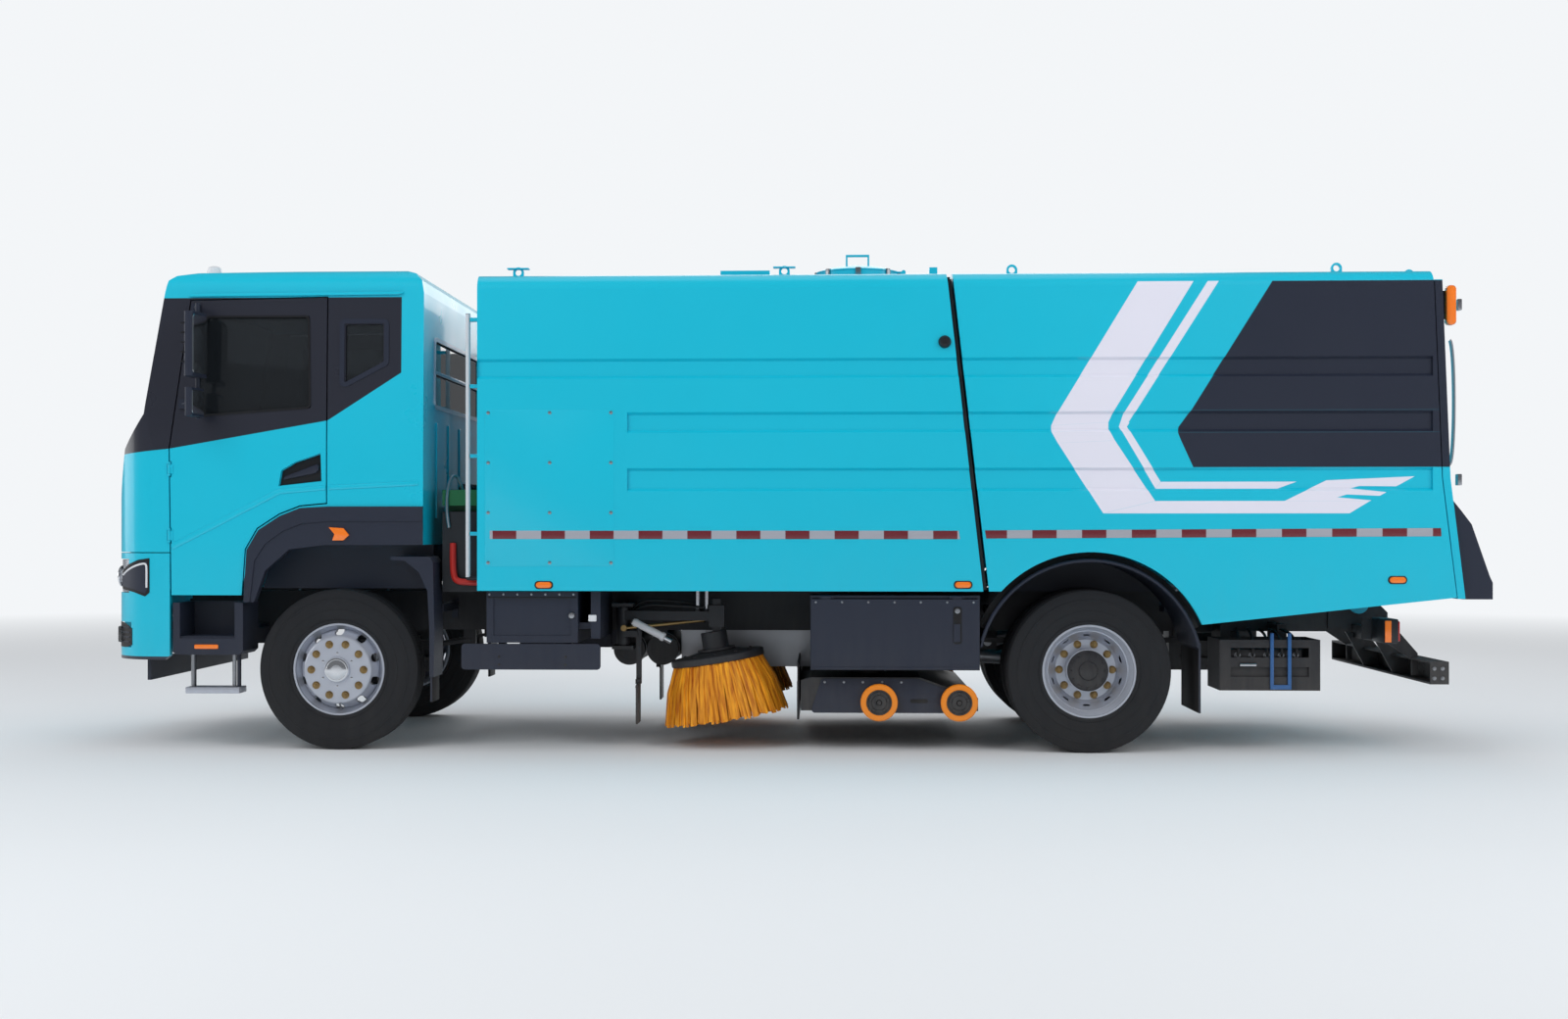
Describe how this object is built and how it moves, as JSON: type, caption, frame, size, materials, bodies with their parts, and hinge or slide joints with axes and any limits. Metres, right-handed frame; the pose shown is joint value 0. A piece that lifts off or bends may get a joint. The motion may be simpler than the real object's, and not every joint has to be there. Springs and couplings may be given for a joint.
{
  "type": "street sweeper truck",
  "caption": "Cab-over two-axle truck with a suction sweeper body, tipping hopper with tailgate, side brushes, suction nozzle and tilting cab.",
  "frame": {"origin": "on the ground at the middle of the truck's length and width", "axes": "front towards -Y, left side towards +X, up +Z"},
  "size_m": [3.0152, 8.636, 3.265],
  "materials": {
    "teal_paint": "gloss",
    "frame_paint": "satin",
    "dark_plastic": "satin",
    "black_metal": "satin",
    "bare_steel": "satin",
    "alloy": "satin",
    "green_housing": "satin",
    "clear_glass": "gloss",
    "lamp_glass": "gloss",
    "tyre_rubber": "matte",
    "soft_black": "matte",
    "interior_plastic": "matte",
    "bristle_orange": "matte",
    "chrome_rod": "polished"
  },
  "bodies": {
    "chassis": {"chassis_frame": "frame_paint", "axles": "frame_paint", "towing_and_lifting_points": "frame_paint", "leaf_springs": "black_metal", "drive_motor": "bare_steel", "battery_boxes": "dark_plastic", "cab_steps": "dark_plastic", "mudguards": "dark_plastic", "side_guards": "dark_plastic", "air_tanks": "black_metal", "underrun_bar": "frame_paint", "sweeper_body": "teal_paint", "power_unit": "green_housing", "lockers": "dark_plastic", "equipment_trays": "black_metal", "pipework": "black_metal"},
    "cab": {"cab_shell": "teal_paint", "front_bumper": "teal_paint", "headlamps": "lamp_glass", "cab_glass": "clear_glass", "cab_trim": "dark_plastic", "dashboard": "interior_plastic", "seats": "soft_black"},
    "steering_wheel": {"steering_wheel": "interior_plastic"},
    "door_left": {"door_left": "teal_paint", "door_glass_left": "clear_glass", "mirror_left": "dark_plastic"},
    "door_right": {"door_right": "teal_paint", "door_glass_right": "clear_glass", "mirror_right": "dark_plastic"},
    "knuckle_left": {"knuckle_left": "frame_paint"},
    "knuckle_right": {"knuckle_right": "frame_paint"},
    "wheel_front_left": {"tyre_front_left": "tyre_rubber", "rim_front_left": "alloy"},
    "wheel_front_right": {"tyre_front_right": "tyre_rubber", "rim_front_right": "alloy"},
    "wheel_rear_left": {"tyre_rear_left": "tyre_rubber", "rim_rear_left": "alloy"},
    "wheel_rear_right": {"tyre_rear_right": "tyre_rubber", "rim_rear_right": "alloy"},
    "hopper": {"hopper_shell": "teal_paint", "hopper_lifting_eyes": "teal_paint"},
    "tailgate": {"tailgate": "teal_paint", "tail_fairing": "dark_plastic"},
    "tip_barrels": {"tip_barrels": "bare_steel"},
    "tip_rods": {"tip_rods": "chrome_rod"},
    "roof_hatch": {"roof_hatch": "teal_paint"},
    "brush_arm_left": {"brush_arm_left": "black_metal"},
    "brush_arm_right": {"brush_arm_right": "black_metal"},
    "brush_head_left": {"brush_head_left": "black_metal"},
    "brush_head_right": {"brush_head_right": "black_metal"},
    "brush_left": {"brush_left": "bristle_orange"},
    "brush_right": {"brush_right": "bristle_orange"},
    "nozzle": {"suction_nozzle": "black_metal"},
    "nozzle_wheel_front_left": {"nozzle_wheel_front_left": "bristle_orange"},
    "nozzle_wheel_front_right": {"nozzle_wheel_front_right": "bristle_orange"},
    "nozzle_wheel_rear_left": {"nozzle_wheel_rear_left": "bristle_orange"},
    "nozzle_wheel_rear_right": {"nozzle_wheel_rear_right": "bristle_orange"},
    "locker_lid_left": {"locker_lid_left": "dark_plastic"},
    "locker_lid_right": {"locker_lid_right": "dark_plastic"}
  },
  "joints": [
    {"name": "cab_tilt", "type": "hinge", "parent": "chassis", "child": "cab", "pos_m": [0, -3.96, 0.605], "axis": [1, 0, 0], "range_deg": [0, 50]},
    {"name": "door_left_swing", "type": "hinge", "parent": "cab", "child": "door_left", "pos_m": [1.204, -3.914, 1.9], "axis": [0, 0, -1], "range_deg": [0, 70]},
    {"name": "door_right_swing", "type": "hinge", "parent": "cab", "child": "door_right", "pos_m": [-1.204, -3.914, 1.9], "axis": [0, 0, 1], "range_deg": [0, 70]},
    {"name": "steer_left", "type": "hinge", "parent": "chassis", "child": "knuckle_left", "pos_m": [0.9785, -2.84, 0.506], "axis": [0, 0, 1], "range_deg": [-35, 35]},
    {"name": "steer_right", "type": "hinge", "parent": "chassis", "child": "knuckle_right", "pos_m": [-0.9785, -2.84, 0.506], "axis": [0, 0, 1], "range_deg": [-35, 35]},
    {"name": "steering_wheel_turn", "type": "hinge", "parent": "cab", "child": "steering_wheel", "pos_m": [0.53, -3.59, 2], "axis": [0, 0.6428, 0.766], "range_deg": [-525, 525]},
    {"name": "wheel_front_left_spin", "type": "hinge", "parent": "knuckle_left", "child": "wheel_front_left", "pos_m": [1.0625, -2.84, 0.506], "axis": [1, 0, 0], "continuous": true},
    {"name": "wheel_front_right_spin", "type": "hinge", "parent": "knuckle_right", "child": "wheel_front_right", "pos_m": [-1.0625, -2.84, 0.506], "axis": [1, 0, 0], "continuous": true},
    {"name": "wheel_rear_left_spin", "type": "hinge", "parent": "chassis", "child": "wheel_rear_left", "pos_m": [1.0625, 1.86, 0.506], "axis": [1, 0, 0], "continuous": true},
    {"name": "wheel_rear_right_spin", "type": "hinge", "parent": "chassis", "child": "wheel_rear_right", "pos_m": [-1.0625, 1.86, 0.506], "axis": [1, 0, 0], "continuous": true},
    {"name": "hopper_tip", "type": "hinge", "parent": "chassis", "child": "hopper", "pos_m": [0, 3.7, 0.9], "axis": [-1, 0, 0], "range_deg": [0, 45]},
    {"name": "tailgate_lift", "type": "hinge", "parent": "hopper", "child": "tailgate", "pos_m": [0, 3.915, 3.004], "axis": [1, 0, 0], "range_deg": [0, 80]},
    {"name": "tip_barrels_swing", "type": "hinge", "parent": "chassis", "child": "tip_barrels", "pos_m": [0, 1.3, 0.64], "axis": [1, 0, 0], "range_deg": [0, 12.99]},
    {"name": "tip_rods_extend", "type": "slide", "parent": "tip_barrels", "child": "tip_rods", "axis": [0, 0.956, 0.2934], "range_m": [0, 0.6266]},
    {"name": "roof_hatch_open", "type": "hinge", "parent": "chassis", "child": "roof_hatch", "pos_m": [0, 0.756, 3.139], "axis": [-1, 0, 0], "range_deg": [0, 100]},
    {"name": "brush_arm_left_swing", "type": "hinge", "parent": "chassis", "child": "brush_arm_left", "pos_m": [0.69, -1.09, 0.75], "axis": [0, 0, -1], "range_deg": [0, 25]},
    {"name": "brush_arm_right_swing", "type": "hinge", "parent": "chassis", "child": "brush_arm_right", "pos_m": [-0.69, -1.09, 0.75], "axis": [0, 0, 1], "range_deg": [0, 25]},
    {"name": "brush_left_lower", "type": "slide", "parent": "brush_arm_left", "child": "brush_head_left", "axis": [0, 0, -1], "range_m": [0, 0.115]},
    {"name": "brush_right_lower", "type": "slide", "parent": "brush_arm_right", "child": "brush_head_right", "axis": [0, 0, -1], "range_m": [0, 0.115]},
    {"name": "brush_left_spin", "type": "hinge", "parent": "brush_head_left", "child": "brush_left", "pos_m": [0.79, -0.474, 0.588], "axis": [0, -0.1564, 0.9877], "continuous": true},
    {"name": "brush_right_spin", "type": "hinge", "parent": "brush_head_right", "child": "brush_right", "pos_m": [-0.79, -0.474, 0.588], "axis": [0, -0.1564, 0.9877], "continuous": true},
    {"name": "nozzle_lower", "type": "slide", "parent": "chassis", "child": "nozzle", "axis": [0, 0, -1], "range_m": [0, 0.18]},
    {"name": "nozzle_wheel_front_left_spin", "type": "hinge", "parent": "nozzle", "child": "nozzle_wheel_front_left", "pos_m": [1.128, 0.56, 0.305], "axis": [1, 0, 0], "continuous": true},
    {"name": "nozzle_wheel_front_right_spin", "type": "hinge", "parent": "nozzle", "child": "nozzle_wheel_front_right", "pos_m": [-1.128, 0.56, 0.305], "axis": [1, 0, 0], "continuous": true},
    {"name": "nozzle_wheel_rear_left_spin", "type": "hinge", "parent": "nozzle", "child": "nozzle_wheel_rear_left", "pos_m": [1.128, 1.06, 0.305], "axis": [1, 0, 0], "continuous": true},
    {"name": "nozzle_wheel_rear_right_spin", "type": "hinge", "parent": "nozzle", "child": "nozzle_wheel_rear_right", "pos_m": [-1.128, 1.06, 0.305], "axis": [1, 0, 0], "continuous": true},
    {"name": "locker_lid_left_open", "type": "hinge", "parent": "chassis", "child": "locker_lid_left", "pos_m": [1.208, 0.657, 0.968], "axis": [0, -1, 0], "range_deg": [0, 85]},
    {"name": "locker_lid_right_open", "type": "hinge", "parent": "chassis", "child": "locker_lid_right", "pos_m": [-1.208, 0.657, 0.968], "axis": [0, 1, 0], "range_deg": [0, 85]}
  ],
  "couplings": [
    {"joint": "steer_right", "follows": "steer_left", "ratio": 1},
    {"joint": "steering_wheel_turn", "follows": "steer_left", "ratio": 15},
    {"joint": "tip_barrels_swing", "follows": "hopper_tip", "ratio": 0.28199},
    {"joint": "tip_rods_extend", "follows": "hopper_tip", "m_per_rad": 0.7952}
  ]
}
